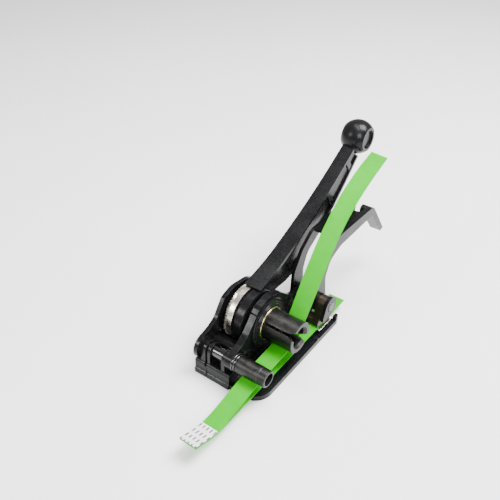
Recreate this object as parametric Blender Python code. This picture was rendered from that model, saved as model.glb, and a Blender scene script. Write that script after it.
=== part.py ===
"""Windlass strapping tensioner: base, hinged frame, slotted windlass, lever and strap gripper.

Sizes are in millimetres and are turned into metres when a mesh is made. X runs along the
windlass axle towards the open strap side, Y points to the rear, Z is up, and the sole of the
base lies on Z = 0. Side views are drawn as (y, z) outlines, plan views as (x, y) outlines.
"""
import math

import bmesh
import bpy
from mathutils import Matrix, Vector

MM = 0.001
GAP = 0.3                    # clearance kept between touching pieces
SKIN = 0.1                   # set-back that keeps joined solids from sharing a face

# --- strap ---------------------------------------------------------------------------------
STRAP_WIDTH = 19.0
STRAP_THICK = 0.9
STRAP_LEFT = 8.0             # left edge of the strap lane

# --- base ----------------------------------------------------------------------------------
BASE_LEFT = -46.0
BASE_RIGHT = 34.6
BASE_FRONT = -66.0
BASE_REAR = 83.0
BASE_THICK = 6.0
CORNER_RADIUS = 19.0
RIM_WIDTH = 3.6              # rim to the right of the strap channel
CHANNEL_DEPTH = 2.4
BLOCK_HEIGHT = 18.0          # front hinge block
BLOCK_DEPTH = 20.0
BLOCK_RIGHT = -3.0
LIP_HEIGHT = 5.0             # lower lip in front of the hinge block
LIP_REACH = 1.6

# --- front hinge and strap roller ----------------------------------------------------------
HINGE_Y = -55.0
HINGE_Z = 30.0
HINGE_PIN_RADIUS = 4.5
LUG_RADIUS = 8.5
SLEEVE_RADIUS = 6.4
ROLLER_RADIUS = 9.2
ROLLER_WALL = 2.6
ROLLER_LEFT = 2.6
ROLLER_RIGHT = 36.8
ROLLER_STEP = 9.0            # length of the turned-down end of the roller

# --- windlass ------------------------------------------------------------------------------
WINDLASS_Z = 41.0
DRUM_RADIUS = 16.8
DRUM_LENGTH = 36.0
DRUM_CAVITY = 10.6
DRUM_FLOOR = 9.0             # solid root of the drum before the cavity starts
SLOT_WIDTH = 3.2
SLOT_ANGLE = 141.0           # direction of the slot's front mouth, from +Y towards +Z
MOUTH_DEPTH = 7.0
MOUTH_WIDTH = 9.0
SHAFT_RADIUS = 10.0
BUSH_WALL = 1.5
LEFT_BUSH_WALL = 2.0

# --- ratchet -------------------------------------------------------------------------------
WHEEL_RADIUS = 30.3
WHEEL_LEFT = -37.5
WHEEL_RIGHT = -28.0
TOOTH_COUNT = 60
TOOTH_DEPTH = 1.3
TOOTH_TRACK = 4.0            # width of the toothed track at the left of the wheel
KEY_WIDTH = 5.0
KEY_HEIGHT = 4.0

# --- frame ---------------------------------------------------------------------------------
RIGHT_CHEEK_LEFT = -9.6
RIGHT_CHEEK_RIGHT = -2.6
LEFT_CHEEK_LEFT = -44.8
LEFT_CHEEK_RIGHT = -40.2
CHEEK_RIM = 3.2
CHEEK_POCKET = 1.6
EAR_RADIUS = 9.6
LEFT_EAR_RADIUS = 14.0
FRAME_FLOOR = 8.0            # lowest edge of the frame, above the base
FRAME_SCREW_RADIUS = 2.5
FRAME_SCREW_HEAD = 4.6

# --- lever ---------------------------------------------------------------------------------
HUB_RADIUS = 30.0
HUB_LEFT = -25.6
HUB_RIGHT = -15.8
LEVER_WIDE_LEFT = -36.0      # top flange where it leaves the hub
LEVER_WIDE_RIGHT = -15.8
LEVER_SLIM_LEFT = -33.0      # top flange at the ball
LEVER_SLIM_RIGHT = -18.0
FLANGE_THICK = 3.4
LEVER_WEB = 5.0
LOW_FLANGE_THICK = 3.2
RIB_THICK = 6.4
BALL_RADIUS = 19.5
BALL_X = -25.0
BALL_Y = 202.5
BALL_Z = 161.5
BALL_FLAT = 14.0             # distance of the side flats from the ball's centre
DISH_RADIUS = 10.5
DISH_DEPTH = 2.5

# --- gripper -------------------------------------------------------------------------------
GRIP_Y = 68.5
GRIP_Z = 31.0
GRIP_PIN_RADIUS = 5.8
GRIP_HUB_RADIUS = 10.5
GRIP_PIN_LEFT = -18.6
GRIP_PIN_RIGHT = 32.4
SIDE_PLATE_LEFT = 27.0
SIDE_PLATE_RIGHT = 31.4
JAW_RIGHT = 26.6
JAW_LEFT = 9.0
ARM_RIGHT = 18.0             # strap-side arm of the release lever
ARM_LEFT = 13.4
FAR_ARM_LEFT = -15.0
FAR_ARM_RIGHT = -11.2
INSERT_LEFT = 6.0
INSERT_RIGHT = 30.0
INSERT_FRONT = 50.0
INSERT_REAR = 77.0
INSERT_TOP = 9.4
SERRATIONS = 12
GRIP_BOSS_RIGHT = 2.6
GRIP_SPRING_WIRE = 1.5
GRIP_SPRING_TURNS = 4.4
GRIP_SPRING_PLAY = 1.05      # room between the pin and the coil
PLATE_Z = 96.6               # underside of the release lever's thumb plate
PLATE_THICK = 2.6
PLATE_REAR = 156.0
LEVER_END_Y = 210.0          # tip of the bent-down end of the release lever
LEVER_END_Z = 51.0
END_WIDTH = 13.0

# --- pawls ---------------------------------------------------------------------------------
DRIVE_PAWL_AT = (36.0, 70.0)
HOLD_PAWL_AT = (40.0, 37.5)
DRIVE_TIP_ANGLE = 62.0
HOLD_TIP_ANGLE = 22.0
PAWL_HUB = 5.0
PAWL_PIN = 2.4
PAWL_THICK = 3.4

# --- places shared by several pieces -------------------------------------------------------
LUGS = ((-39.8, -34.0), (-31.4, -28.2), (-14.2, -10.0))
LUG_NOTCH = (-33.9, -31.5)
SEAM_X = -31.0
INSERT_SCREW_RADIUS = 2.0
INSERT_SCREW_HEAD = 3.6
INSERT_SCREWS = ((11.0, 70.5), (25.0, 70.5))
FRAME_SCREWS = ((-36.5, 22.0), (38.0, 20.0))

# --- looks ---------------------------------------------------------------------------------
BLACK_PAINT = ((0.012, 0.012, 0.013, 1.0), 0.32, 0.3)
DARK_STEEL = ((0.09, 0.09, 0.095, 1.0), 0.4, 0.9)
BRIGHT_STEEL = ((0.45, 0.45, 0.46, 1.0), 0.3, 1.0)
YELLOW_ZINC = ((0.72, 0.66, 0.45, 1.0), 0.3, 1.0)
BRASS = ((0.70, 0.58, 0.28, 1.0), 0.3, 1.0)
JAW_STEEL = ((0.20, 0.15, 0.12, 1.0), 0.5, 0.9)
GREEN_PET = ((0.20, 0.75, 0.10, 1.0), 0.35, 0.0)
WHITE_FILM = ((0.85, 0.85, 0.83, 1.0), 0.5, 0.0)


def clear_scene():
    for old in list(bpy.data.objects):
        bpy.data.objects.remove(old)


def material(name, look):
    colour, roughness, metallic = look
    made = bpy.data.materials.new(name)
    made.use_nodes = True
    shader = made.node_tree.nodes["Principled BSDF"]
    shader.inputs["Base Color"].default_value = colour
    shader.inputs["Roughness"].default_value = roughness
    shader.inputs["Metallic"].default_value = metallic
    return made


def place(name, bm, look, origin=(0, 0, 0)):
    """Turn a bmesh in millimetres into an object in metres whose origin is at origin."""
    bmesh.ops.translate(bm, verts=bm.verts, vec=-Vector(origin))
    bmesh.ops.scale(bm, verts=bm.verts, vec=(MM, MM, MM))
    bmesh.ops.recalc_face_normals(bm, faces=bm.faces)
    mesh = bpy.data.meshes.new(name)
    bm.to_mesh(mesh)
    bm.free()
    made = bpy.data.objects.new(name, mesh)
    bpy.context.scene.collection.objects.link(made)
    made.location = Vector(origin) * MM
    if look:
        mesh.materials.append(material(name, look))
        mesh.shade_smooth()
        mesh.set_sharp_from_angle(angle=math.radians(32))
    else:
        made.hide_render = True
        made.display_type = "WIRE"
    return made


# --- outlines ------------------------------------------------------------------------------
def arc(y, z, radius, start, end, steps=24):
    """Points of an arc about (y, z), by angle in degrees from +Y towards +Z."""
    angles = [math.radians(start + (end - start) * k / steps) for k in range(steps + 1)]
    return [(y + radius * math.cos(a), z + radius * math.sin(a)) for a in angles]


def circle(y, z, radius, steps=24):
    return arc(y, z, radius, 0, 360, steps)[:-1]


def rounded(corners, steps=4):
    """Outline through corners (y, z, radius) with each corner filleted to its radius."""
    points = []
    for k, (y, z, radius) in enumerate(corners):
        here = Vector((y, z))
        back = Vector(corners[k - 1][:2]) - here
        ahead = Vector(corners[(k + 1) % len(corners)][:2]) - here
        half = back.angle(ahead) / 2
        if radius <= 0 or half > math.radians(89):
            points.append((y, z))
            continue
        run = min(radius / math.tan(half), 0.49 * back.length, 0.49 * ahead.length)
        radius = run * math.tan(half)
        first = here + back.normalized() * run
        last = here + ahead.normalized() * run
        middle = here + (back.normalized() + ahead.normalized()).normalized() * radius / math.sin(half)
        turn = (first - middle).angle_signed(last - middle)
        for step in range(steps + 1):
            spoke = Matrix.Rotation(-turn * step / steps, 2) @ (first - middle)
            points.append(tuple(middle + spoke))
    return points


def sharp(points):
    """Arc points as corners that rounded() leaves alone."""
    return [(y, z, 0) for y, z in points]


def hull_outline(circles, steps=12):
    """Convex outline round several circles (y, z, radius)."""
    points = [p for y, z, radius in circles for p in circle(y, z, radius, 3 * steps)]
    points.sort()
    chains = []
    for row in (points, points[::-1]):
        chain = []
        for p in row:
            while len(chain) > 1 and _left_turn(chain[-2], chain[-1], p) <= 1e-6:
                chain.pop()
            chain.append(p)
        chains += chain[:-1]
    return chains


def _left_turn(a, b, c):
    return (b[0] - a[0]) * (c[1] - a[1]) - (b[1] - a[1]) * (c[0] - a[0])


# --- solids --------------------------------------------------------------------------------
def add_prism(bm, outline, low, high, axis="X"):
    """Extrude an outline between two planes; axis X takes (y, z) points, axis Z takes (x, y)."""
    def at(level, point):
        return (level, *point) if axis == "X" else (*point, level)
    face = bm.faces.new([bm.verts.new(at(low, p)) for p in outline])
    raised = bmesh.ops.extrude_face_region(bm, geom=[face])["geom"]
    shift = (high - low, 0, 0) if axis == "X" else (0, 0, high - low)
    bmesh.ops.translate(bm, verts=[g for g in raised if isinstance(g, bmesh.types.BMVert)], vec=shift)
    return bm


def prism(outline, low, high, axis="X"):
    return add_prism(bmesh.new(), outline, low, high, axis)


def slab(x0, x1, y0, y1, z0, z1):
    return prism([(x0, y0), (x1, y0), (x1, y1), (x0, y1)], z0, z1, "Z")


def turned(y, z, stations, bore=0.0, steps=24):
    """Solid of revolution about an X line through (y, z); stations are (x, radius)."""
    bm = bmesh.new()
    loop = list(stations)
    if bore:
        loop += [(stations[-1][0], bore), (stations[0][0], bore)]
    rings = []
    for x, radius in loop:
        rings.append([bm.verts.new((x, *p)) for p in circle(y, z, radius, steps)])
    pairs = list(zip(rings, rings[1:]))
    if bore:
        pairs.append((rings[-1], rings[0]))
    else:
        bm.faces.new(rings[0])
        bm.faces.new(rings[-1])
    for one, two in pairs:
        for k in range(steps):
            bm.faces.new((one[k - 1], one[k], two[k], two[k - 1]))
    return bm


def tube(y, z, x0, x1, radius, bore=0.0, edge=0.0, steps=24):
    """Straight tube or pin along X, with a chamfer on each outer rim if edge is given."""
    if edge:
        stations = [(x0, radius - edge), (x0 + edge, radius), (x1 - edge, radius), (x1, radius - edge)]
    else:
        stations = [(x0, radius), (x1, radius)]
    return turned(y, z, stations, bore, steps)


def change(target, cutter_bm, operation="DIFFERENCE", solver="EXACT"):
    """Boolean a cutter, given as a bmesh in millimetres, with an object."""
    cutter = place(f"cut_{target.name}_{len(target.modifiers)}", cutter_bm, None)
    step = target.modifiers.new(cutter.name, "BOOLEAN")
    step.object = cutter
    step.operation = operation
    step.solver = solver


def flanged_plate(outline, low, high, rim, pocket):
    """Plate with a raised rim on both faces: each face is inset and pressed in."""
    bm = prism(outline, low, high)
    bmesh.ops.recalc_face_normals(bm, faces=bm.faces)
    sides = [f for f in bm.faces if abs(f.normal.x) > 0.9]
    for side in sides:
        bmesh.ops.inset_region(bm, faces=[side], thickness=rim)
        bmesh.ops.translate(bm, verts=side.verts, vec=-side.normal * pocket)
    return bm


def spring_coil(y, z, x0, turns, mean, wire, legs):
    """Torsion spring about an X line: a helix with a straight leg at each end, as one tube."""
    points = []
    per_turn = 12
    first, last = legs
    start = math.radians(first[2])
    pitch = wire + GAP
    for k in range(int(turns * per_turn) + 1):
        a = start + 2 * math.pi * k / per_turn
        points.append(Vector((x0 + pitch * k / per_turn, y + mean * math.cos(a), z + mean * math.sin(a))))
    points.insert(0, Vector((x0, first[0], first[1])))
    points.append(Vector((points[-1].x, last[0], last[1])))
    return sweep(points, wire / 2)


def sweep(points, radius, sides=6):
    """Round bar along points in space."""
    bm = bmesh.new()
    rings = []
    for k, here in enumerate(points):
        before = points[max(k - 1, 0)]
        after = points[min(k + 1, len(points) - 1)]
        along = (after - before).normalized()
        side = along.cross(Vector((1, 0, 0)))
        side = side.normalized() if side.length > 0.2 else Vector((0, 1, 0))
        lift = along.cross(side).normalized()
        spokes = [2 * math.pi * s / sides for s in range(sides)]
        ring = [here + (side * math.cos(a) + lift * math.sin(a)) * radius for a in spokes]
        rings.append([bm.verts.new(p) for p in ring])
    for one, two in zip(rings, rings[1:]):
        for s in range(sides):
            bm.faces.new((one[s - 1], one[s], two[s], two[s - 1]))
    bm.faces.new(rings[0])
    bm.faces.new(rings[-1])
    return bm


# --- base group ----------------------------------------------------------------------------
def base_outline(inset=0.0):
    left, right = BASE_LEFT + inset, BASE_RIGHT - inset
    front, rear = BASE_FRONT + inset, BASE_REAR - inset
    return rounded([(left, front, 3), (right, front, CORNER_RADIUS - inset), (right, rear, 4),
                    (left, rear, 6)], 7)


def make_base():
    base = place("base_plate", prism(base_outline(), 0, BASE_THICK, "Z"), BLACK_PAINT)
    block_rear = BASE_FRONT + BLOCK_DEPTH
    block = rounded([(BASE_FRONT - LIP_REACH, SKIN, 0), (BASE_FRONT - LIP_REACH, LIP_HEIGHT, 1),
                     (BASE_FRONT, LIP_HEIGHT + LIP_REACH, 0.5), (BASE_FRONT, BLOCK_HEIGHT, 3),
                     (block_rear, BLOCK_HEIGHT - 2, 4), (block_rear, SKIN, 0)], 4)
    change(base, prism(block, BASE_LEFT + SKIN, BLOCK_RIGHT), "UNION")
    for low, high in LUGS:
        lug = hull_outline([(HINGE_Y, HINGE_Z, LUG_RADIUS), (HINGE_Y - 1, BLOCK_HEIGHT - 9, LUG_RADIUS)])
        change(base, prism(lug, low, high), "UNION")
    bore = prism(circle(HINGE_Y, HINGE_Z, HINGE_PIN_RADIUS + GAP, 24), BASE_LEFT - 1, BASE_RIGHT)
    change(base, bore)
    for low, high, radius in ((LEFT_CHEEK_LEFT - 1, LEFT_CHEEK_RIGHT + GAP, LEFT_EAR_RADIUS),
                              (RIGHT_CHEEK_LEFT - GAP, BLOCK_RIGHT + 1, EAR_RADIUS)):
        change(base, prism(circle(HINGE_Y, HINGE_Z, radius + 2 * GAP, 40), low, high))
    low, high = LUG_NOTCH
    change(base, slab(low, high, BASE_FRONT - 3, block_rear + 1, BLOCK_HEIGHT - 5, HINGE_Z + 12))
    channel_right = BASE_RIGHT - RIM_WIDTH
    channel = rounded([(STRAP_LEFT - 5, BASE_FRONT + RIM_WIDTH, 2),
                       (channel_right, BASE_FRONT + RIM_WIDTH, CORNER_RADIUS - RIM_WIDTH),
                       (channel_right, BASE_REAR + 1, 0), (STRAP_LEFT - 5, BASE_REAR + 1, 0)], 8)
    change(base, prism(channel, BASE_THICK - CHANNEL_DEPTH, BASE_THICK + 10, "Z"))
    lug_left = INSERT_RIGHT + GAP
    right, rear = BASE_RIGHT - SKIN, BASE_REAR - SKIN
    stop = rounded([(lug_left, INSERT_REAR + GAP, 0), (right, INSERT_REAR + GAP, 1),
                    (right, rear, 4), (lug_left, rear, 1)], 5)
    change(base, prism(stop, BASE_THICK - 1, BASE_THICK + 5, "Z"), "UNION")
    ridge = rounded([(channel_right - 0.6, 38, 1), (right, 38, 1), (right, 42, 1),
                     (channel_right - 0.6, 42, 1)], 4)
    change(base, prism(ridge, BASE_THICK - 1, BASE_THICK + 1.4, "Z"), "UNION")
    for x, y in INSERT_SCREWS:
        change(base, tapped_hole(x, y))
    seam = slab(SEAM_X - 0.5, SEAM_X + 0.5, BASE_FRONT - 4, BASE_FRONT + 0.6, -1, BLOCK_HEIGHT - 6)
    change(base, seam)


def tapped_hole(x, y):
    """Countersunk hole from the sole up into the insert, as one cutter."""
    bm = bmesh.new()
    rings = []
    head, shank = INSERT_SCREW_HEAD + GAP, INSERT_SCREW_RADIUS + GAP
    for z, radius in ((-1, head), (1.2, head), (1.2 + head - shank, shank), (BASE_THICK + 4, shank)):
        rings.append([bm.verts.new((p[0], p[1], z)) for p in circle(x, y, radius, 24)])
    for one, two in zip(rings, rings[1:]):
        for k in range(24):
            bm.faces.new((one[k - 1], one[k], two[k], two[k - 1]))
    bm.faces.new(rings[0])
    bm.faces.new(rings[-1])
    return bm


def countersunk_screw(x, y):
    bm = bmesh.new()
    rings = []
    head, shank = INSERT_SCREW_HEAD, INSERT_SCREW_RADIUS
    top = BASE_THICK + 1.6
    for z, radius in ((0.4, head), (1.2, head), (1.2 + head - shank, shank), (top, shank)):
        rings.append([bm.verts.new((p[0], p[1], z)) for p in circle(x, y, radius, 24)])
    for one, two in zip(rings, rings[1:]):
        for k in range(24):
            bm.faces.new((one[k - 1], one[k], two[k], two[k - 1]))
    bm.faces.new(rings[0])
    bm.faces.new(rings[-1])
    return bm


def make_insert():
    """Hardened gripping plate: its upper face is cut into ratchet-like serrations."""
    bottom = BASE_THICK - CHANNEL_DEPTH + GAP
    pitch = (INSERT_REAR - INSERT_FRONT) / SERRATIONS
    profile = [(INSERT_FRONT, bottom), (INSERT_REAR, bottom)]
    for k in range(SERRATIONS):
        profile.append((INSERT_REAR - k * pitch, INSERT_TOP))
        profile.append((INSERT_REAR - (k + 0.85) * pitch, INSERT_TOP - 0.7))
    profile.append((INSERT_FRONT, INSERT_TOP - 0.7))
    insert = place("grip_insert", prism(profile, INSERT_LEFT, INSERT_RIGHT), BRIGHT_STEEL)
    for x, y in INSERT_SCREWS:
        change(insert, prism(circle(x, y, INSERT_SCREW_RADIUS + GAP, 32), 0, BASE_THICK + 2, "Z"))
    for side, (x, y) in zip(("left", "right"), INSERT_SCREWS):
        place(f"insert_screw_{side}", countersunk_screw(x, y), DARK_STEEL)


def make_hinge():
    centre = (0, HINGE_Y, HINGE_Z)
    head = HINGE_PIN_RADIUS + 2.2
    pin_left = LEFT_CHEEK_LEFT - 0.4
    stations = [(pin_left - 1.8, head - 0.6), (pin_left - 1.2, head), (pin_left, head),
                (pin_left, HINGE_PIN_RADIUS), (ROLLER_LEFT + 18, HINGE_PIN_RADIUS),
                (ROLLER_LEFT + 19, HINGE_PIN_RADIUS - 1)]
    place("hinge_pin", turned(HINGE_Y, HINGE_Z, stations), BRIGHT_STEEL, centre)
    sleeve = tube(HINGE_Y, HINGE_Z, LUGS[1][1] + GAP, LUGS[2][0] - GAP, SLEEVE_RADIUS,
                  HINGE_PIN_RADIUS + GAP)
    place("hinge_sleeve", sleeve, BRIGHT_STEEL, centre)
    for side, low, radius in (("inner", RIGHT_CHEEK_RIGHT + GAP, ROLLER_RADIUS + 0.8),
                              ("outer", RIGHT_CHEEK_RIGHT + GAP + 2.4, ROLLER_RADIUS + 0.3)):
        ring = tube(HINGE_Y, HINGE_Z, low, low + 2.1, radius, HINGE_PIN_RADIUS + GAP, 0.4)
        place(f"roller_washer_{side}", ring, BLACK_PAINT, centre)
    bore = ROLLER_RADIUS - ROLLER_WALL
    stations = [(ROLLER_LEFT, ROLLER_RADIUS - 0.4), (ROLLER_LEFT + 0.4, ROLLER_RADIUS),
                (ROLLER_RIGHT - ROLLER_STEP, ROLLER_RADIUS),
                (ROLLER_RIGHT - ROLLER_STEP + 0.3, ROLLER_RADIUS - 0.25),
                (ROLLER_RIGHT - 1, ROLLER_RADIUS - 0.25), (ROLLER_RIGHT, ROLLER_RADIUS - 1)]
    roller = place("strap_roller", turned(HINGE_Y, HINGE_Z, stations, bore), BLACK_PAINT, centre)
    bush = tube(HINGE_Y, HINGE_Z, ROLLER_LEFT + 0.5, ROLLER_LEFT + 17, bore - GAP / 3,
                HINGE_PIN_RADIUS + GAP)
    place("roller_bush", bush, BRASS, centre)


# --- frame group ---------------------------------------------------------------------------
def left_cheek_outline():
    ear_top = arc(HINGE_Y, HINGE_Z, LEFT_EAR_RADIUS, 262, 95, 18)
    swell = [(-46, 46.5, 12), (-36, 52, 16), (-29, 62, 10), (-23, 70, 8), (-8, 74.5, 24),
             (18, 70, 24), (41, 54, 18), (52, 32, 12), (48, FRAME_FLOOR, 8),
             (-34, FRAME_FLOOR, 8), (-45, 17, 8)]
    return rounded(sharp(ear_top) + swell)


def make_left_cheek():
    cheek = flanged_plate(left_cheek_outline(), LEFT_CHEEK_LEFT, LEFT_CHEEK_RIGHT, CHEEK_RIM,
                          CHEEK_POCKET)
    cheek = place("frame_left_cheek", cheek, BLACK_PAINT)
    bosses = [(0, WINDLASS_Z, SHAFT_RADIUS + 7), (HINGE_Y, HINGE_Z, EAR_RADIUS)]
    bosses += [(y, z, 6.5) for y, z in FRAME_SCREWS + (HOLD_PAWL_AT,)]
    for y, z, radius in bosses:
        boss = prism(circle(y, z, radius, 28), LEFT_CHEEK_LEFT + SKIN, LEFT_CHEEK_RIGHT - SKIN)
        change(cheek, boss, "UNION")
    left, right = LEFT_CHEEK_LEFT - 1, LEFT_CHEEK_RIGHT + 1
    change(cheek, prism(circle(HINGE_Y, HINGE_Z, HINGE_PIN_RADIUS + GAP, 24), left, right))
    left_bore = SHAFT_RADIUS - 2 + LEFT_BUSH_WALL + GAP
    change(cheek, prism(circle(0, WINDLASS_Z, left_bore, 28), left, right))
    for y, z in FRAME_SCREWS:
        change(cheek, prism(circle(y, z, FRAME_SCREW_RADIUS + GAP, 20), left, right))
    change(cheek, prism(circle(*HOLD_PAWL_AT, PAWL_PIN + GAP, 16), left, right))


def right_cheek_outline():
    ear = arc(HINGE_Y, HINGE_Z, EAR_RADIUS, 240, 100, 14)
    swell = [(-44, 42.5, 10), (-35, 48.5, 20), (-26, 58, 12), (-15, 70.5, 10),
             (2, 74, 24), (22, 66, 18), (44, 46, 20)]
    tail = arc(GRIP_Y, GRIP_Z, GRIP_HUB_RADIUS, 60, -80, 14)
    sole = [(50, FRAME_FLOOR, 14), (-36, FRAME_FLOOR, 8), (-45, 18, 10)]
    return rounded(sharp(ear) + swell + sharp(tail) + sole)


def make_right_cheek():
    cheek = flanged_plate(right_cheek_outline(), RIGHT_CHEEK_LEFT, RIGHT_CHEEK_RIGHT, CHEEK_RIM,
                          CHEEK_POCKET)
    cheek = place("frame_right_cheek", cheek, BLACK_PAINT)
    left, right = RIGHT_CHEEK_LEFT + SKIN, RIGHT_CHEEK_RIGHT - SKIN
    stations = [(left, 27.5), (-2.2, 27.5), (-1.6, 26.8), (-1.6, 24), (-0.9, 23.6), (-0.9, 21.6),
                (-0.2, 21.2)]
    change(cheek, turned(0, WINDLASS_Z, stations), "UNION", "MANIFOLD")
    change(cheek, prism(circle(HINGE_Y, HINGE_Z, EAR_RADIUS - 0.5, 28), left, right), "UNION", "MANIFOLD")
    change(cheek, tube(GRIP_Y, GRIP_Z, left, GRIP_BOSS_RIGHT, GRIP_HUB_RADIUS - 0.6), "UNION", "MANIFOLD")
    for y, z in FRAME_SCREWS + (HOLD_PAWL_AT,):
        change(cheek, prism(circle(y, z, 6.5, 20), left, right), "UNION", "MANIFOLD")
    bores = [(0, WINDLASS_Z, DRUM_RADIUS + 2 * GAP + BUSH_WALL),
             (HINGE_Y, HINGE_Z, HINGE_PIN_RADIUS + GAP), (GRIP_Y, GRIP_Z, GRIP_PIN_RADIUS + GAP)]
    bores += [(y, z, FRAME_SCREW_RADIUS + GAP) for y, z in FRAME_SCREWS]
    bores.append((*HOLD_PAWL_AT, PAWL_PIN + GAP))
    for y, z, radius in bores:
        sides = 48 if radius > 10 else 24
        change(cheek, prism(circle(y, z, radius, sides), left - 1, 12), "DIFFERENCE", "MANIFOLD")
    notch = [(-24, 67), (-20, 62.8), (-19, 63.6), (-22, 69)]
    change(cheek, prism(notch, RIGHT_CHEEK_LEFT - 1, RIGHT_CHEEK_RIGHT + 1), "DIFFERENCE",
           "MANIFOLD")


def make_frame_bridges():
    """Cross walls that tie the two cheeks together in front of and behind the ratchet wheel."""
    low, high = LEFT_CHEEK_RIGHT + GAP, RIGHT_CHEEK_LEFT - GAP
    clear = WHEEL_RADIUS + 2.2
    front = rounded(sharp(arc(0, WINDLASS_Z, clear, 246, 203, 10))
                    + [(-38, 30.5, 2), (-43, 28, 3), (-43, 17, 5), (-35, 9, 3)], 4)
    rear = rounded(sharp(arc(0, WINDLASS_Z, clear, 290, 330, 10))
                   + [(38, 30, 3), (44, 26, 4), (43, 12, 4), (36, 9, 3)], 4)
    for name, outline in (("frame_front_bridge", front), ("frame_rear_bridge", rear)):
        bridge = place(name, prism(outline, low, high), BLACK_PAINT)
        for y, z in FRAME_SCREWS:
            change(bridge, prism(circle(y, z, FRAME_SCREW_RADIUS + GAP, 24), low - 1, high + 1))
    for side, (y, z) in zip(("front", "rear"), FRAME_SCREWS):
        head = [(LEFT_CHEEK_LEFT - GAP - 2.6, FRAME_SCREW_HEAD - 0.8),
                (LEFT_CHEEK_LEFT - GAP - 1.8, FRAME_SCREW_HEAD), (LEFT_CHEEK_LEFT - GAP, FRAME_SCREW_HEAD),
                (LEFT_CHEEK_LEFT - GAP, FRAME_SCREW_RADIUS), (RIGHT_CHEEK_RIGHT - 0.6, FRAME_SCREW_RADIUS)]
        place(f"frame_screw_{side}", turned(y, z, head, 0, 24), DARK_STEEL)


def make_bushings():
    ring_out = DRUM_RADIUS + GAP + BUSH_WALL
    stations = [(RIGHT_CHEEK_LEFT, ring_out), (0.2, ring_out), (0.6, ring_out - 0.4)]
    ring = turned(0, WINDLASS_Z, stations, DRUM_RADIUS + GAP, 48)
    place("windlass_bushing", ring, BRASS, (0, 0, WINDLASS_Z))
    journal = SHAFT_RADIUS - 2
    bush = tube(0, WINDLASS_Z, LEFT_CHEEK_LEFT, LEFT_CHEEK_RIGHT, journal + LEFT_BUSH_WALL,
                journal + GAP)
    place("shaft_bushing", bush, BRASS, (0, 0, WINDLASS_Z))


# --- windlass group ------------------------------------------------------------------------
def make_windlass():
    journal = SHAFT_RADIUS - 2
    stations = [(LEFT_CHEEK_LEFT - 3.4, journal - 0.8), (LEFT_CHEEK_LEFT - 2.6, journal),
                (LEFT_CHEEK_RIGHT + 0.6, journal), (LEFT_CHEEK_RIGHT + 0.6, SHAFT_RADIUS),
                (RIGHT_CHEEK_LEFT - 3, SHAFT_RADIUS), (RIGHT_CHEEK_LEFT - 3, DRUM_RADIUS - 0.4),
                (RIGHT_CHEEK_LEFT - 2.6, DRUM_RADIUS), (DRUM_LENGTH - 0.6, DRUM_RADIUS),
                (DRUM_LENGTH, DRUM_RADIUS - 0.6)]
    drum = place("windlass", turned(0, WINDLASS_Z, stations, 0, 48), DARK_STEEL, (0, 0, WINDLASS_Z))
    cavity = [(DRUM_FLOOR, DRUM_CAVITY - 3), (DRUM_FLOOR + 3, DRUM_CAVITY),
              (DRUM_LENGTH - 3, DRUM_CAVITY), (DRUM_LENGTH + 1, DRUM_CAVITY + 2.6)]
    change(drum, turned(0, WINDLASS_Z, cavity, 0, 36))
    slot = slab(2, DRUM_LENGTH + 2, -DRUM_RADIUS - 2, DRUM_RADIUS + 2, -SLOT_WIDTH / 2, SLOT_WIDTH / 2)
    mouth_at = DRUM_LENGTH - MOUTH_DEPTH
    flare = [(mouth_at, SLOT_WIDTH / 2 - 0.2), (DRUM_LENGTH + 2, MOUTH_WIDTH / 2 + 1),
             (DRUM_LENGTH + 2, -MOUTH_WIDTH / 2 - 1), (mouth_at, -SLOT_WIDTH / 2 + 0.2)]
    wedge = prism(flare, -DRUM_RADIUS - 2, DRUM_RADIUS + 2, "Z")
    bmesh.ops.rotate(wedge, verts=wedge.verts, matrix=Matrix.Rotation(math.pi / 2, 3, "X"))
    for cutter in (slot, wedge):
        bmesh.ops.rotate(cutter, verts=cutter.verts,
                         matrix=Matrix.Rotation(math.radians(SLOT_ANGLE), 3, "X"))
        bmesh.ops.translate(cutter, verts=cutter.verts, vec=(0, 0, WINDLASS_Z))
        change(drum, cutter)
    change(drum, keyway(-GAP, WHEEL_LEFT - 1, WHEEL_RIGHT + 1))


def keyway(shrink, x0, x1):
    half = KEY_WIDTH / 2 - shrink
    middle = WINDLASS_Z + SHAFT_RADIUS
    low, high = middle - KEY_HEIGHT / 2 + shrink, middle + KEY_HEIGHT / 2 - shrink
    return slab(x0, x1, -half, half, low, high)


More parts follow.
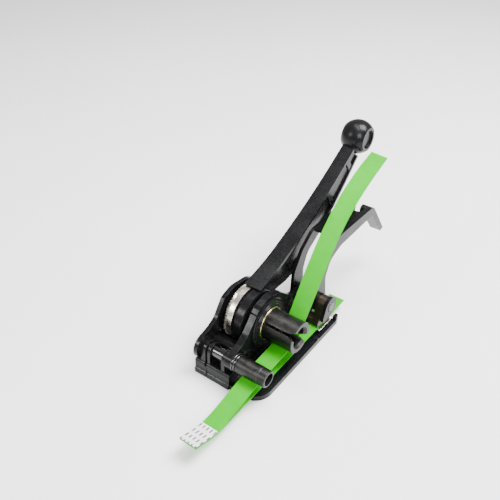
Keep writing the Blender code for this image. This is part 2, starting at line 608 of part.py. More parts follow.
def make_ratchet():
    rim_left = WHEEL_LEFT + TOOTH_TRACK
    centre = (0, 0, WINDLASS_Z)
    wheel = tube(0, WINDLASS_Z, rim_left - 0.5, WHEEL_RIGHT, WHEEL_RADIUS, 0, 0.5, 60)
    wheel = place("ratchet_wheel", wheel, YELLOW_ZINC, centre)
    teeth = []
    tip = WHEEL_RADIUS - 0.6
    for k in range(TOOTH_COUNT):
        start = 360 / TOOTH_COUNT * k
        teeth += [p for a, r in ((0, tip - TOOTH_DEPTH), (0.2, tip), (2.0, tip - 0.4))
                  for p in arc(0, WINDLASS_Z, r, start + a, start + a, 1)[:1]]
    change(wheel, prism(teeth, WHEEL_LEFT, rim_left), "UNION")
    change(wheel, prism(circle(0, WINDLASS_Z, SHAFT_RADIUS + GAP, 32), WHEEL_LEFT - 1, WHEEL_RIGHT + 1))
    change(wheel, keyway(-GAP, WHEEL_LEFT - 1, WHEEL_RIGHT + 1))
    place("wheel_key", keyway(0, WHEEL_LEFT, WHEEL_RIGHT), BRIGHT_STEEL, centre)
    collar_left = LEFT_CHEEK_RIGHT + 1.0
    collar = tube(0, WINDLASS_Z, collar_left, WHEEL_LEFT - GAP, SHAFT_RADIUS + 5, SHAFT_RADIUS + GAP)
    place("shaft_collar", collar, DARK_STEEL, centre)
    clip_left = LEFT_CHEEK_LEFT - GAP - 1.2
    clip = tube(0, WINDLASS_Z, clip_left, clip_left + 1.2, SHAFT_RADIUS + 1, SHAFT_RADIUS - 2 + GAP)
    place("shaft_clip", clip, DARK_STEEL, centre)


# --- strips that follow a path in the side view --------------------------------------------
def smooth_path(points, per_span=4):
    """Catmull-Rom curve through (y, z) points."""
    rows = [Vector(p) for p in points]
    rows = [rows[0] * 2 - rows[1]] + rows + [rows[-1] * 2 - rows[-2]]
    path = []
    for k in range(1, len(rows) - 2):
        a, b, c, d = rows[k - 1:k + 3]
        for step in range(per_span):
            t = step / per_span
            path.append((b * 2 + (c - a) * t + (a * 2 - b * 5 + c * 4 - d) * t ** 2
                         + (b * 3 - a - c * 3 + d) * t ** 3) / 2)
    path.append(rows[-2])
    return path


def strip(path, thick, left, right, side=0.0, twist=None):
    """Closed strip along a (y, z) path; left and right give x at the start and at the end.

    side is 0 for a strip centred on the path and 1 for one that hangs below it.
    twist, if given, turns the strip about its path, in degrees per share of its length.
    """
    bm = bmesh.new()
    rings = []
    last = len(path) - 1
    for k, here in enumerate(path):
        share = k / last
        along = (path[min(k + 1, last)] - path[max(k - 1, 0)]).normalized()
        up = Vector((0, -along.y, along.x))
        x0 = left[0] + (left[1] - left[0]) * share
        x1 = right[0] + (right[1] - right[0]) * share
        angle = math.radians(twist(share)) if twist else 0.0
        across = Vector((math.cos(angle), 0, 0)) - up * math.sin(angle)
        normal = up * math.cos(angle) + Vector((math.sin(angle), 0, 0))
        middle = Vector(((x0 + x1) / 2, here.x, here.y))
        half = across * (x1 - x0) / 2
        high, low = normal * thick * (0.5 - side / 2), -normal * thick * (0.5 + side / 2)
        corners = [middle - half + high, middle + half + high, middle + half + low, middle - half + low]
        rings.append([bm.verts.new(c) for c in corners])
    for one, two in zip(rings, rings[1:]):
        for s in range(4):
            bm.faces.new((one[s - 1], one[s], two[s], two[s - 1]))
    bm.faces.new(rings[0])
    bm.faces.new(rings[-1])
    return bm


# --- lever group ---------------------------------------------------------------------------
LEVER_TOP = ((4.5, 73.2), (27, 78.8), (49, 86), (80, 99.3), (113, 115), (150, 135.4), (186, 157.5))
LEVER_DEPTH = (23.0, 23.5, 32.0, 35.0, 33.0, 27.0, 19.0)


def lever_low_path():
    """Underside of the lever: the top path moved in by the depth, running down into the hub."""
    low = []
    for k in range(1, len(LEVER_TOP)):
        here, before = Vector(LEVER_TOP[k]), Vector(LEVER_TOP[k - 1])
        along = (here - before).normalized()
        low.append(here - Vector((-along.y, along.x)) * LEVER_DEPTH[k])
    return smooth_path([(21, 51)] + [tuple(p) for p in low])


def make_lever():
    top = smooth_path(LEVER_TOP)
    low = lever_low_path()
    centre = (0, 0, WINDLASS_Z)
    left, right = (LEVER_WIDE_LEFT, LEVER_SLIM_LEFT), (LEVER_WIDE_RIGHT, LEVER_SLIM_RIGHT)
    lever = place("lever", strip(top, FLANGE_THICK, left, right, 1), BLACK_PAINT, centre)
    change(lever, tube(0, WINDLASS_Z, HUB_LEFT, HUB_RIGHT, HUB_RADIUS, 0, 0.8, 44), "UNION")
    low_left, low_right = (-32.5, -31.5), (LEVER_WIDE_RIGHT - 0.3, LEVER_SLIM_RIGHT - 0.2)
    change(lever, strip(low, LOW_FLANGE_THICK, low_left, low_right, -1), "UNION")
    web_left = HUB_LEFT + 0.4
    web = [tuple(p) for p in top[1:]] + [tuple(p) for p in reversed(low)] + [(6, 60)]
    inner = [(y, z - 0.8) for y, z in web[:len(top) - 1]] + web[len(top) - 1:]
    change(lever, prism(inner, web_left, web_left + LEVER_WEB), "UNION")
    for k, share in ((2, 0.2), (4, 0.55), (5, 0.6)):
        rib_at = Vector(LEVER_TOP[k]).lerp(Vector(LEVER_TOP[k + 1]), share)
        along = (Vector(LEVER_TOP[k + 1]) - Vector(LEVER_TOP[k])).normalized()
        depth = LEVER_DEPTH[k] + (LEVER_DEPTH[k + 1] - LEVER_DEPTH[k]) * share
        down = Vector((along.y, -along.x)) * (depth - 1.5)
        half = along * RIB_THICK / 2
        rib = [tuple(p) for p in (rib_at - half, rib_at + half, rib_at + half + down, rib_at - half + down)]
        rib = [(y, z - 1.4) for y, z in rib]
        change(lever, prism(rib, -31.0, LEVER_WIDE_RIGHT - 3.0), "UNION")
    change(lever, ball_end(), "UNION")
    for side in (-1, 1):
        wall = BALL_X + side * (BALL_FLAT - DISH_DEPTH)
        dish = tube(BALL_Y, BALL_Z, min(wall, wall + side * 12), max(wall, wall + side * 12),
                    DISH_RADIUS, 0, 0.4, 28)
        change(lever, dish)
    wheel_room = prism(circle(0, WINDLASS_Z, WHEEL_RADIUS + 0.7, 60), LEFT_CHEEK_RIGHT, HUB_LEFT)
    change(lever, wheel_room)
    change(lever, prism(circle(0, WINDLASS_Z, SHAFT_RADIUS + GAP, 32), HUB_LEFT - 1, HUB_RIGHT + 1))
    change(lever, prism(circle(*DRIVE_PAWL_AT, PAWL_PIN + GAP, 16), HUB_LEFT - 4, HUB_RIGHT + 1))
    for name, x0, x1 in (("hub_washer", HUB_RIGHT + GAP, RIGHT_CHEEK_LEFT - 3 - GAP),
                         ("wheel_washer", WHEEL_RIGHT + GAP, HUB_LEFT - GAP)):
        washer = tube(0, WINDLASS_Z, x0, x1, SHAFT_RADIUS + 5, SHAFT_RADIUS + GAP)
        place(name, washer, BRIGHT_STEEL, centre)


def ball_end():
    """Ball with two side flats."""
    edge = math.degrees(math.acos(BALL_FLAT / BALL_RADIUS))
    angles = [edge + (180 - 2 * edge) * k / 12 for k in range(13)]
    stations = [(BALL_X - BALL_RADIUS * math.cos(math.radians(a)), BALL_RADIUS * math.sin(math.radians(a)))
                for a in angles]
    return turned(BALL_Y, BALL_Z, stations, 0, 36)


def pawl_outline(pivot, tip_angle):
    """Hub and tapering arm whose tip lies a gap outside the tooth crests."""
    reach = WHEEL_RADIUS - 0.6 + GAP + 0.2
    a = math.radians(tip_angle)
    tip = (reach * math.cos(a), WINDLASS_Z + reach * math.sin(a))
    back = (tip[0] + 3.4 * math.cos(a), tip[1] + 3.4 * math.sin(a))
    return hull_outline([(*pivot, PAWL_HUB - 0.6), (*tip, 0.15), (*back, 0.4)], 12)


def make_pawls():
    track_left = WHEEL_LEFT + 0.2
    rows = (("drive", DRIVE_PAWL_AT, DRIVE_TIP_ANGLE, HUB_LEFT + LEVER_WEB),
            ("holding", HOLD_PAWL_AT, HOLD_TIP_ANGLE, RIGHT_CHEEK_RIGHT - 1.0))
    for name, pivot, angle, pin_right in rows:
        centre = (0, *pivot)
        arm = prism(pawl_outline(pivot, angle), track_left, track_left + PAWL_THICK)
        pawl = place(f"{name}_pawl", arm, DARK_STEEL, centre)
        hub_right = track_left + PAWL_THICK + 3.4
        change(pawl, tube(*pivot, track_left, hub_right, PAWL_HUB, 0, 0, 20), "UNION")
        change(pawl, prism(circle(*pivot, PAWL_PIN + GAP, 16), track_left - 1, hub_right + 1))
        pin_left = track_left - 1.6 if name == "drive" else LEFT_CHEEK_LEFT + 1.0
        place(f"{name}_pawl_pin", tube(*pivot, pin_left, pin_right, PAWL_PIN, 0, 0, 16),
              BRIGHT_STEEL, centre)
        y, z = pivot
        out = math.degrees(math.atan2(z - WINDLASS_Z, y)) if name == "drive" else 0.0
        a = math.radians(out)
        legs = ((y, z - 3.7, -90.0), (y + 6.2 * math.cos(a), z + 6.2 * math.sin(a)))
        coil = spring_coil(y, z, hub_right + 0.9, 2.25 + out / 360, 3.7, 1.0, legs)
        place(f"{name}_pawl_spring", coil, BRIGHT_STEEL, centre)


# --- gripper group -------------------------------------------------------------------------
def make_release_lever():
    centre = (0, GRIP_Y, GRIP_Z)
    eye_front = arc(GRIP_Y, GRIP_Z, GRIP_HUB_RADIUS, 20, -190, 26)
    arm = rounded(sharp(eye_front) + [(60, 62, 14), (66, 82, 12), (80, 96, 18), (104, 100.6, 30),
                                      (176, 97.6, 14), (LEVER_END_Y, LEVER_END_Z, 1),
                                      (LEVER_END_Y - 7.5, LEVER_END_Z - 1, 1), (174.5, 86.5, 8),
                                      (104, 86, 30), (84, 79, 14), (75, 62, 16)], 5)
    lever = place("release_lever", prism(arm, ARM_LEFT, ARM_RIGHT), BLACK_PAINT, centre)
    end = rounded([(167, 97.8, 4), (176, 97.4, 12), (LEVER_END_Y, LEVER_END_Z, 1),
                   (LEVER_END_Y - 7.5, LEVER_END_Z - 1, 1), (174.5, 86.8, 6), (167, 86.6, 2)], 5)
    change(lever, prism(end, ARM_RIGHT - END_WIDTH, ARM_RIGHT - 0.05), "UNION", "MANIFOLD")
    far = rounded(sharp(eye_front) + [(60, 62, 14), (74, 84, 14), (94, 98.8, 12), (PLATE_REAR, 98.8, 1),
                                      (PLATE_REAR, 93, 3), (104, 91, 16), (84, 74, 14), (77.5, 58, 10)], 5)
    change(lever, prism(far, FAR_ARM_LEFT, FAR_ARM_RIGHT), "UNION", "MANIFOLD")
    plate = rounded([(FAR_ARM_LEFT + 0.1, 98, 3), (ARM_RIGHT - 0.2, 98, 1), (ARM_RIGHT - 0.2, 170, 1),
                     (ARM_LEFT - 1.5, 170, 1), (ARM_LEFT - 2, PLATE_REAR + 2, 5), (6, PLATE_REAR, 3),
                     (FAR_ARM_LEFT + 0.1, PLATE_REAR, 1)], 4)
    thumb = prism(plate, PLATE_Z - PLATE_THICK / 2, PLATE_Z + PLATE_THICK / 2, "Z")
    change(lever, thumb, "UNION", "MANIFOLD")
    lip = rounded([(PLATE_REAR - 2.4, PLATE_Z, 0), (PLATE_REAR + 0.6, PLATE_Z, 0),
                   (PLATE_REAR + 3.4, PLATE_Z + 8, 1), (PLATE_REAR + 1.2, PLATE_Z + 8, 1)], 4)
    change(lever, prism(lip, FAR_ARM_LEFT + 0.2, 4), "UNION", "MANIFOLD")
    change(lever, prism(circle(GRIP_Y, GRIP_Z, GRIP_PIN_RADIUS + GAP, 28), FAR_ARM_LEFT - 1, ARM_RIGHT + 1),
           "DIFFERENCE", "MANIFOLD")


def make_gripper():
    centre = (0, GRIP_Y, GRIP_Z)
    bottom = INSERT_TOP + STRAP_THICK + 2 * GAP
    toe = [(50.5, bottom + 2), (52, bottom), (62, bottom), (65, bottom + 4.5)]
    jaw_side = hull_outline([(GRIP_Y, GRIP_Z, GRIP_HUB_RADIUS - 0.6), (53, bottom + 2.5, 2.5),
                             (61, bottom + 2, 2)], 16)
    jaw = place("gripper_jaw", prism(jaw_side, ARM_RIGHT + 0.4, JAW_RIGHT), JAW_STEEL, centre)
    foot = toe + [(62, bottom + 8), (53, bottom + 8)]
    change(jaw, prism(foot, JAW_LEFT, JAW_RIGHT - 0.1), "UNION")
    for k in range(5):
        y = 53 + k * 1.8
        notch = [(y, bottom - 1), (y, bottom + 0.6), (y + 1.2, bottom - 1)]
        change(jaw, prism(notch, JAW_LEFT - 1, JAW_RIGHT + 1))
    change(jaw, prism(circle(GRIP_Y, GRIP_Z, GRIP_PIN_RADIUS + GAP, 28), ARM_RIGHT - 1, JAW_RIGHT + 1))
    boot = hull_outline([(GRIP_Y, GRIP_Z, GRIP_HUB_RADIUS + 0.5), (57.5, 21.0, 4.2)], 20)
    plate = place("gripper_side_plate", prism(boot, SIDE_PLATE_LEFT, SIDE_PLATE_RIGHT), BLACK_PAINT, centre)
    change(plate, prism(circle(GRIP_Y, GRIP_Z, GRIP_PIN_RADIUS + GAP, 28), 20, 40))
    stations = [(GRIP_PIN_LEFT, GRIP_PIN_RADIUS - 0.6), (GRIP_PIN_LEFT + 0.6, GRIP_PIN_RADIUS),
                (GRIP_PIN_RIGHT - 0.8, GRIP_PIN_RADIUS), (GRIP_PIN_RIGHT, GRIP_PIN_RADIUS - 0.9)]
    place("gripper_pin", turned(GRIP_Y, GRIP_Z, stations, 0, 28), BRIGHT_STEEL, centre)
    clip_right = FAR_ARM_LEFT - GAP
    clip = tube(GRIP_Y, GRIP_Z, clip_right - 1.4, clip_right, GRIP_PIN_RADIUS + 2.6,
                GRIP_PIN_RADIUS + GAP)
    place("gripper_pin_clip", clip, DARK_STEEL, centre)
    mean = GRIP_PIN_RADIUS + GRIP_SPRING_WIRE / 2 + GRIP_SPRING_PLAY
    legs = ((GRIP_Y, GRIP_Z - mean, -90.0), (GRIP_Y + 3, GRIP_Z + mean + 2))
    start = GRIP_BOSS_RIGHT + GRIP_SPRING_WIRE - 0.2
    coil = spring_coil(GRIP_Y, GRIP_Z, start, GRIP_SPRING_TURNS, mean, GRIP_SPRING_WIRE, legs)
    place("gripper_spring", coil, BRIGHT_STEEL, centre)


# --- strap ---------------------------------------------------------------------------------
STRAP_FRONT = -150.0
END_RISE = 10.0              # lift of the free ends above the base strap line
BAND_THICK = 0.4
STRAP_REAR = 108.0
MEET_Y = -108.0              # from here forward the two runs lie on each other
TAIL = ((37.5, 62), (58, 89.5), (80, 115), (109, 138), (141, 153.5), (173, 164))


def make_strap():
    left, right = (STRAP_LEFT, STRAP_LEFT), (STRAP_LEFT + STRAP_WIDTH, STRAP_LEFT + STRAP_WIDTH)
    low = INSERT_TOP + GAP + STRAP_THICK / 2
    rise = [(MEET_Y - 12, 0.5), (MEET_Y - 24, 3.0), (STRAP_FRONT, END_RISE)]
    lower = [Vector((y, low)) for y in (STRAP_REAR, 0, MEET_Y)]
    lower += [Vector((y, low + lift)) for y, lift in rise]
    place("strap_lower", strip(lower[::-1], STRAP_THICK, left, right), GREEN_PET)
    half = STRAP_THICK / 2 + GAP
    above = low + STRAP_THICK + GAP
    front_run = [(y, above + lift) for y, lift in rise[::-1]] + [(MEET_Y, above + GAP)]
    front_run += arc(HINGE_Y, HINGE_Z, ROLLER_RADIUS + half, -96, -91, 3)
    front_run = [Vector(point) for point in front_run]
    place("strap_upper", strip(front_run, STRAP_THICK, left, right), GREEN_PET)

    # From the bottom of the roller the same strap lifts with the frame, so it is its own node.
    on_roller = arc(HINGE_Y, HINGE_Z, ROLLER_RADIUS + half, -89, -84, 3)
    on_drum = arc(0, WINDLASS_Z, DRUM_RADIUS + half, -94, -38, 14)
    tail = [Vector(point) for point in on_roller + on_drum]
    twist_from = len(tail)
    tail += smooth_path([on_drum[-1]] + list(TAIL), 5)[1:]

    def turn(share):
        start = twist_from / (len(tail) - 1)
        inside = max(0.0, share - start) / (1 - start)
        return 30 * math.sin(math.pi * inside) + 6 * inside
    place("strap_tail", strip(tail, STRAP_THICK, left, right, 0, turn), GREEN_PET)
    shift = Vector((0, STRAP_THICK / 2 + GAP + BAND_THICK / 2))
    band = [Vector((y, above + lift)) + shift for y, lift in rise[::-1]]
    edges = (left[0] + GAP, left[0] + GAP), (right[0] - GAP, right[0] - GAP)
    place("strap_band", strip(band, BAND_THICK, *edges), WHITE_FILM)


# --- assembly ------------------------------------------------------------------------------
def gather(pivot_name, pivot, members):
    """Parent moving pieces to an empty on their joint's axis."""
    empty = bpy.data.objects.new(pivot_name, None)
    bpy.context.scene.collection.objects.link(empty)
    empty.location = Vector(pivot) * MM
    for name in members:
        piece = bpy.data.objects[name]
        piece.parent = empty
        piece.matrix_parent_inverse = Matrix.Translation(-empty.location)


def main():
    clear_scene()
    make_base()
    make_insert()
    make_hinge()
    make_left_cheek()
    make_right_cheek()
    make_frame_bridges()
    make_bushings()
    make_windlass()
    make_ratchet()
    make_lever()
    make_pawls()
    make_release_lever()
    make_gripper()
    make_strap()
    axle = (0, 0, WINDLASS_Z)
    gather("roller_axis", (0, HINGE_Y, HINGE_Z), ["strap_roller", "roller_bush"])
    gather("frame_pivot", (0, HINGE_Y, HINGE_Z),
           ["frame_left_cheek", "frame_right_cheek", "frame_front_bridge", "frame_rear_bridge",
            "frame_screw_front", "frame_screw_rear", "windlass_bushing", "shaft_bushing", "holding_pawl_pin",
            "holding_pawl_spring", "gripper_pin", "gripper_pin_clip", "gripper_spring", "strap_tail"])
    gather("windlass_axis", axle, ["windlass", "ratchet_wheel", "wheel_key", "shaft_collar", "shaft_clip",
                                   "hub_washer", "wheel_washer"])
    gather("lever_pivot", axle, ["lever", "drive_pawl_pin", "drive_pawl_spring"])
    gather("drive_pawl_pivot", (0, *DRIVE_PAWL_AT), ["drive_pawl"])
    gather("holding_pawl_pivot", (0, *HOLD_PAWL_AT), ["holding_pawl"])
    gather("gripper_pivot", (0, GRIP_Y, GRIP_Z), ["release_lever", "gripper_jaw", "gripper_side_plate"])


main()
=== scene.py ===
"""Looks of the strapping tensioner: materials, rounded edges, floor, lights and camera."""
import math

import bmesh
import bpy
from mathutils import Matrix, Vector


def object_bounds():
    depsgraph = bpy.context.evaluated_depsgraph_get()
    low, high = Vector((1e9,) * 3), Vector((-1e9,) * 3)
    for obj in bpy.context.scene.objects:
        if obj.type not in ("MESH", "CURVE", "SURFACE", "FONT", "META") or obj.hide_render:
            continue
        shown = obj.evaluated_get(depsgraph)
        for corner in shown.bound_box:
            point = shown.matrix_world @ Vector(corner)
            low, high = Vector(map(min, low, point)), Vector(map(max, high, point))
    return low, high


MM = 0.001
X_AXIS, Y_AXIS = 0, 1
MIX_A, MIX_B, MIX_RESULT = 6, 7, 2  # the colour sockets of Blender's Mix node

EMBOSS_PITCH = 1.7 * MM             # the strap's diamond pattern
STRAP_RISE = math.radians(40)       # mean slope of the run that goes up along the lever
DASH_ROWS, DASH_LENGTH = 4.2 * MM, 9.0 * MM  # the dashes that stand for the band's print

WELD_WITHIN = 0.002 * MM
FLAT_WITHIN = math.radians(0.6)     # faces this close to one plane become one
SHARP_FROM = math.radians(32)       # edges sharper than this are rounded
EDGE_SEGMENTS = 2

FLOOR_HALF, FLOOR_DROP = 4.0, 0.2 * MM
SKY_STRENGTH = 0.62
AIM, AIM_HIGH = (0, 0.03, 0.06), (0, 0.03, 0.1)
LIGHTS = (  # name, place, target, size in metres, watts
    ("key", (0.45, 0.55, 1.45), AIM, (0.8, 0.8), 70),
    ("side", (1.0, -1.0, 1.1), AIM, (0.6, 0.8), 30),
    ("front_left", (-0.85, -1.25, 0.95), AIM_HIGH, (0.3, 0.5), 14),
    ("top_strip", (-0.1, 0.1, 1.2), AIM, (0.12, 0.9), 9),
)
CAMERA_AT = (0.2680, -0.3972, 0.4878)
CAMERA_TURN = (math.radians(53.5), 0, math.radians(36.5))
CAMERA_LENS, CAMERA_SENSOR = 46.08, 36.0

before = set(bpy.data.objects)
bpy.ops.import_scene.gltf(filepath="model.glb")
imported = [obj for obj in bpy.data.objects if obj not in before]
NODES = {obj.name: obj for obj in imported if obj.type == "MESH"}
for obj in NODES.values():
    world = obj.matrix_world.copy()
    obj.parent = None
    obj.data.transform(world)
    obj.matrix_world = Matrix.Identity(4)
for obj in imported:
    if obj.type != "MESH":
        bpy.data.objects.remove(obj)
cad_low, cad_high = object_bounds()


# --- node helpers --------------------------------------------------------------------------
class Look:
    """A material with short calls for the procedural nodes that the looks below share."""

    def __init__(self, name, **sockets):
        self.material = bpy.data.materials.new(name)
        self.material.use_nodes = True
        self.tree = self.material.node_tree
        self.shader = self.tree.nodes["Principled BSDF"]
        for socket, value in sockets.items():
            self.shader.inputs[socket.replace("_", " ")].default_value = value
        self.place = self.node("ShaderNodeTexCoord").outputs["Object"]

    def node(self, kind, **settings):
        made = self.tree.nodes.new(kind)
        for name, value in settings.items():
            setattr(made, name, value)
        return made

    def link(self, source, socket):
        self.tree.links.new(source, socket)

    def noise(self, size, detail=4.0, rough=0.55, stretch=(1, 1, 1), warp=0.0):
        """Noise whose features are about size metres across, squeezed by stretch."""
        mapping = self.node("ShaderNodeMapping")
        mapping.inputs["Scale"].default_value = [s / size for s in stretch]
        self.link(self.place, mapping.inputs["Vector"])
        made = self.node("ShaderNodeTexNoise")
        made.inputs["Scale"].default_value = 1.0
        made.inputs["Detail"].default_value = detail
        made.inputs["Roughness"].default_value = rough
        made.inputs["Distortion"].default_value = warp
        self.link(mapping.outputs[0], made.inputs["Vector"])
        return made.outputs["Fac"]

    def ramp(self, factor, *stops):
        made = self.node("ShaderNodeValToRGB")
        elements = made.color_ramp.elements
        while len(elements) < len(stops):
            elements.new(0.5)
        for element, (position, colour) in zip(elements, stops):
            element.position = position
            element.color = (*colour, 1.0)
        self.link(factor, made.inputs["Fac"])
        return made.outputs["Color"]

    def span(self, value, low, high, start=0.3, end=0.7):
        """value from start..end stretched to low..high."""
        made = self.node("ShaderNodeMapRange")
        sockets = ("From Min", "From Max", "To Min", "To Max")
        for socket, number in zip(sockets, (start, end, low, high)):
            made.inputs[socket].default_value = number
        self.link(value, made.inputs["Value"])
        return made.outputs["Result"]

    def math(self, operation, *values):
        made = self.node("ShaderNodeMath", operation=operation)
        for socket, value in zip(made.inputs, values):
            if isinstance(value, (int, float)):
                socket.default_value = value
            else:
                self.link(value, socket)
        return made.outputs[0]

    def mix(self, factor, one, two):
        """Colour one where factor is 0, colour two where it is 1."""
        made = self.node("ShaderNodeMix", data_type="RGBA")
        self.link(factor, made.inputs["Factor"])
        for socket, value in zip((made.inputs[MIX_A], made.inputs[MIX_B]), (one, two)):
            if isinstance(value, tuple):
                socket.default_value = (*value, 1.0)
            else:
                self.link(value, socket)
        return made.outputs[MIX_RESULT]

    def bump(self, height, depth, strength=1.0, below=None):
        made = self.node("ShaderNodeBump")
        made.inputs["Strength"].default_value = strength
        made.inputs["Distance"].default_value = depth
        self.link(height, made.inputs["Height"])
        if below is not None:
            self.link(below, made.inputs["Normal"])
        return made.outputs["Normal"]

    def edge_wear_and_highlight(self, radius):
        """1 on edges and corners, 0 on open faces."""
        bevel = self.node("ShaderNodeBevel", samples=4)
        bevel.inputs["Radius"].default_value = radius
        face = self.node("ShaderNodeNewGeometry").outputs["Normal"]
        dot = self.node("ShaderNodeVectorMath", operation="DOT_PRODUCT")
        self.link(bevel.outputs[0], dot.inputs[0])
        self.link(face, dot.inputs[1])
        return self.span(dot.outputs["Value"], 1.0, 0.0, 0.86, 0.995)

    def finish(self, colour=None, roughness=None, normal=None):
        for name, source in (("Base Color", colour), ("Roughness", roughness), ("Normal", normal)):
            if source is not None:
                self.link(source, self.shader.inputs[name])
        return self.material


# --- looks ---------------------------------------------------------------------------------
def enamel():
    """Black gloss paint on a casting: soft orange peel, faint dust, and edges painted lighter grey at
    random spots, partly as painted highlight, partly as paint worn thin.
    """
    look = Look("black_enamel", Metallic=0.0, IOR=1.45, Specular_IOR_Level=0.18)
    patches = look.noise(0.022, 5, 0.6)
    dust = look.noise(0.0016, 3, 0.6)
    spots = look.span(look.noise(0.005, 5, 0.7), 0.0, 1.0, 0.42, 0.62)
    rubbed_and_highlit = look.math("MULTIPLY", look.edge_wear_and_highlight(0.0009), spots)
    colour = look.ramp(dust, (0.35, (0.003, 0.003, 0.0035)), (0.75, (0.008, 0.008, 0.0085)))
    # edge spots mixed towards grey: partly painted edge highlight, partly paint worn thin
    colour = look.mix(look.math("MULTIPLY", rubbed_and_highlit, 0.55), colour, (0.055, 0.055, 0.056))
    roughness = look.math("ADD", look.span(patches, 0.16, 0.34), look.math("MULTIPLY", rubbed_and_highlit, 0.12))
    casting = look.bump(look.noise(0.0042, 2, 0.5), 0.00012, 0.55)
    normal = look.bump(look.noise(0.0011, 2, 0.5), 0.00005, 0.8, casting)
    return look.finish(colour, roughness, normal)


def steel(name, dark, light, rough, grain=(1, 1, 1), stain=None):
    """Bare or blackened metal: fine grain, patchy shine, edges painted brighter at random spots, partly
    as painted highlight, partly as worn bare metal, and, if given, a stain.
    """
    look = Look(name, Metallic=1.0)
    fine = look.noise(0.0012, 6, 0.65, grain)
    patches = look.noise(0.009, 5, 0.6, warp=0.6)
    blend = look.math("ADD", look.math("MULTIPLY", fine, 0.5), look.math("MULTIPLY", patches, 0.5))
    colour = look.ramp(blend, (0.36, dark), (0.64, light))
    if stain:
        blots = look.span(look.noise(0.006, 6, 0.65, warp=1.2), 0.0, 0.8, 0.48, 0.7)
        colour = look.mix(blots, colour, stain)
    spots = look.span(look.noise(0.003, 5, 0.7), 0.1, 0.8, 0.4, 0.62)
    edge = look.math("MULTIPLY", look.edge_wear_and_highlight(0.0007), spots)
    # brighter edge colour: partly painted edge highlight, partly worn bare metal
    bright = tuple(min(0.9, channel * 1.7 + 0.08) for channel in light)
    colour = look.mix(edge, colour, bright)
    shine = look.math("ADD", look.math("MULTIPLY", fine, 0.4), look.math("MULTIPLY", patches, 0.6))
    roughness = look.span(shine, *rough)
    normal = look.bump(look.noise(0.0006, 4, 0.6, grain), 0.00003, 0.7)
    return look.finish(colour, roughness, normal)


def strap_plastic(name, slope):
    """Green embossed strap; slope is the run's mean angle, so that the pattern follows it."""
    look = Look(name, Metallic=0.0, IOR=1.5, Specular_IOR_Level=0.14)
    turn = look.node("ShaderNodeMapping")
    turn.inputs["Rotation"].default_value = (-slope, 0, 0)
    turn.inputs["Scale"].default_value = [2 * math.pi / EMBOSS_PITCH] * 3
    look.link(look.place, turn.inputs["Vector"])
    split = look.node("ShaderNodeSeparateXYZ")
    look.link(turn.outputs[0], split.inputs[0])
    one = look.math("SINE", look.math("ADD", split.outputs[X_AXIS], split.outputs[Y_AXIS]))
    two = look.math("SINE", look.math("SUBTRACT", split.outputs[X_AXIS], split.outputs[Y_AXIS]))
    diamonds = look.math("MULTIPLY", one, two)
    height = look.span(diamonds, 0.0, 1.0, -0.7, 0.7)
    tone = look.noise(0.02, 4, 0.6, (0.6, 1, 1))
    colour = look.ramp(tone, (0.3, (0.012, 0.29, 0.0004)), (0.7, (0.024, 0.37, 0.0008)))
    # raised diamonds mixed towards a lighter, yellower green: painted highlight on the embossing
    colour = look.mix(look.math("MULTIPLY", height, 0.35), colour, (0.05, 0.46, 0.001))
    roughness = look.span(look.noise(0.004, 4, 0.6), 0.3, 0.44)
    return look.finish(colour, roughness, look.bump(height, 0.00022, 0.9))


def band_film():
    """White printed film, its print replaced by plain grey dashes."""
    look = Look("white_band", Metallic=0.0, Coat_Weight=0.3, Coat_Roughness=0.15)
    split = look.node("ShaderNodeSeparateXYZ")
    look.link(look.place, split.inputs[0])
    rows, dashes = (
        look.math("SINE", look.math("MULTIPLY", split.outputs[axis], 2 * math.pi / pitch))
        for axis, pitch in ((X_AXIS, DASH_ROWS), (Y_AXIS, DASH_LENGTH)))
    rows = look.span(rows, 0.0, 1.0, 0.25, 0.4)
    ink = look.math("MULTIPLY", rows, look.span(dashes, 0.0, 1.0, -0.25, -0.1))
    ink = look.math("MULTIPLY", ink, look.span(look.noise(0.0016, 3, 0.6), 0.55, 1.0, 0.35, 0.5))
    colour = look.mix(ink, (0.82, 0.82, 0.81), (0.06, 0.06, 0.065))
    roughness = look.span(look.noise(0.003, 3), 0.25, 0.4)
    return look.finish(colour, roughness, look.bump(look.noise(0.005), 0.0001))


# --- carried-over nodes --------------------------------------------------------------------
def soften(piece, width):
    """Weld a piece's faces, round its sharp edges by width mm and shade it smoothly."""
    weld = piece.modifiers.new("weld", "WELD")
    weld.merge_threshold = WELD_WITHIN
    flat = piece.modifiers.new("flat", "DECIMATE")
    flat.decimate_type = "DISSOLVE"
    flat.angle_limit = FLAT_WITHIN
    bevel = piece.modifiers.new("edges", "BEVEL")
    bevel.width = width * MM
    bevel.segments = EDGE_SEGMENTS
    bevel.limit_method = "ANGLE"
    bevel.angle_limit = SHARP_FROM
    bevel.use_clamp_overlap = True
    bevel.miter_outer = "MITER_ARC"
    normals = piece.modifiers.new("normals", "WEIGHTED_NORMAL")
    normals.keep_sharp = True
    for polygon in piece.data.polygons:
        polygon.use_smooth = True


def dress(material, slot, width, *names):
    """Give the named pieces one material, and edges rounded by width mm; slot is not used."""
    for name in names:
        piece = NODES[name]
        piece.data.materials.clear()
        piece.data.materials.append(material)
        soften(piece, width)


# --- scene ---------------------------------------------------------------------------------
def area_light(name, where, target, size, power):
    lamp = bpy.data.lights.new(name, "AREA")
    lamp.shape = "RECTANGLE"
    lamp.size, lamp.size_y = size
    lamp.energy = power
    holder = bpy.data.objects.new(name, lamp)
    bpy.context.scene.collection.objects.link(holder)
    holder.location = where
    holder.rotation_euler = (Vector(target) - Vector(where)).to_track_quat("-Z", "Y").to_euler()


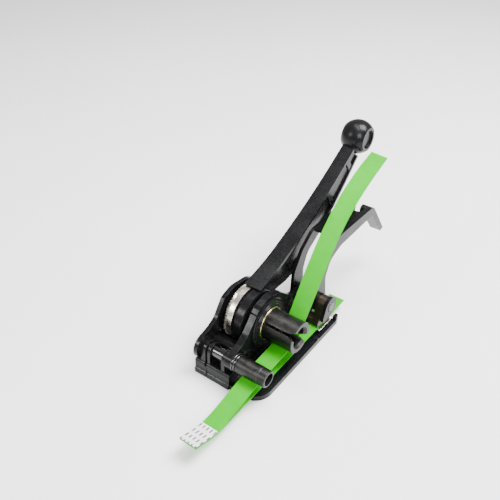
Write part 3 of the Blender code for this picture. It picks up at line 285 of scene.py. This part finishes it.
def studio():
    world = bpy.data.worlds.new("studio")
    bpy.context.scene.world = world
    world.use_nodes = True
    sky = world.node_tree.nodes["Background"]
    sky.inputs["Color"].default_value = (1.0, 1.0, 1.0, 1.0)
    sky.inputs["Strength"].default_value = SKY_STRENGTH
    bm = bmesh.new()
    bmesh.ops.create_grid(bm, x_segments=1, y_segments=1, size=FLOOR_HALF)
    floor = bpy.data.objects.new("floor", bpy.data.meshes.new("floor"))
    bm.to_mesh(floor.data)
    bm.free()
    floor.location.z = cad_low.z - FLOOR_DROP
    bpy.context.scene.collection.objects.link(floor)
    look = Look("pale_floor", Roughness=0.9)
    shade = look.ramp(look.noise(0.3, 3), (0.3, (0.9, 0.9, 0.9)), (0.7, (0.93, 0.93, 0.93)))
    floor.data.materials.append(look.finish(shade))
    for light in LIGHTS:
        area_light(*light)


def camera():
    eye = bpy.data.cameras.new("camera")
    eye.sensor_width = CAMERA_SENSOR
    eye.lens = CAMERA_LENS
    holder = bpy.data.objects.new("camera", eye)
    bpy.context.scene.collection.objects.link(holder)
    holder.location = CAMERA_AT
    holder.rotation_euler = CAMERA_TURN
    bpy.context.scene.camera = holder


def looks():
    paint = enamel()
    dress(paint, "black_paint", 0.9, "base_plate", "frame_right_cheek", "frame_left_cheek")
    dress(paint, "black_paint", 0.7, "lever", "release_lever", "gripper_side_plate",
          "frame_front_bridge", "frame_rear_bridge")
    drum = steel("drum_steel", (0.02, 0.0195, 0.019), (0.052, 0.051, 0.05), (0.34, 0.5), (0.3, 1, 1))
    dress(drum, "dark_steel", 0.5, "windlass", "strap_roller")
    tool = steel("tool_steel", (0.05, 0.048, 0.046), (0.12, 0.115, 0.11), (0.25, 0.42))
    dress(tool, "dark_steel", 0.4, "drive_pawl", "drive_pawl_pin", "holding_pawl", "holding_pawl_pin",
          "frame_screw_front", "frame_screw_rear", "hinge_pin", "insert_screw_left", "insert_screw_right",
          "gripper_pin", "wheel_key")
    spring = steel("spring_steel", (0.1, 0.098, 0.095), (0.3, 0.29, 0.28), (0.2, 0.36))
    dress(spring, "spring_steel", 0.15, "gripper_pin_clip", "shaft_clip", "drive_pawl_spring",
          "holding_pawl_spring", "gripper_spring")
    bright = steel("bright_steel", (0.42, 0.41, 0.39), (0.7, 0.69, 0.66), (0.16, 0.32), (0.2, 1, 1))
    dress(bright, "bright_steel", 0.3, "grip_insert", "roller_bush", "wheel_washer", "shaft_collar")
    oiled = steel("oiled_steel", (0.035, 0.035, 0.036), (0.09, 0.09, 0.092), (0.12, 0.24), (0.2, 1, 1))
    dress(oiled, "bright_steel", 0.3, "hinge_sleeve", "roller_washer_inner", "roller_washer_outer")
    grey = steel("hub_steel", (0.12, 0.12, 0.12), (0.26, 0.26, 0.26), (0.28, 0.42))
    dress(grey, "bright_steel", 0.4, "hub_washer")
    zinc = steel("zinc_plate", (0.62, 0.6, 0.52), (0.86, 0.84, 0.78), (0.2, 0.36), (0.4, 1, 1),
                 (0.55, 0.44, 0.2))
    dress(zinc, "zinc_steel", 0.3, "ratchet_wheel")
    brown = steel("jaw_steel", (0.03, 0.024, 0.02), (0.085, 0.066, 0.05), (0.35, 0.55), (1, 1, 1),
                  (0.05, 0.028, 0.014))
    dress(brown, "brown_steel", 0.4, "gripper_jaw")
    brass = steel("brass_ring", (0.42, 0.3, 0.12), (0.74, 0.57, 0.28), (0.18, 0.34))
    dress(brass, "brass", 0.3, "windlass_bushing", "shaft_bushing")
    dress(strap_plastic("strap_flat", 0.0), "green_strap", 0.15, "strap_lower", "strap_upper")
    dress(strap_plastic("strap_rising", STRAP_RISE), "green_strap", 0.15, "strap_tail")
    dress(band_film(), "white_film", 0.05, "strap_band")


looks()
studio()
camera()
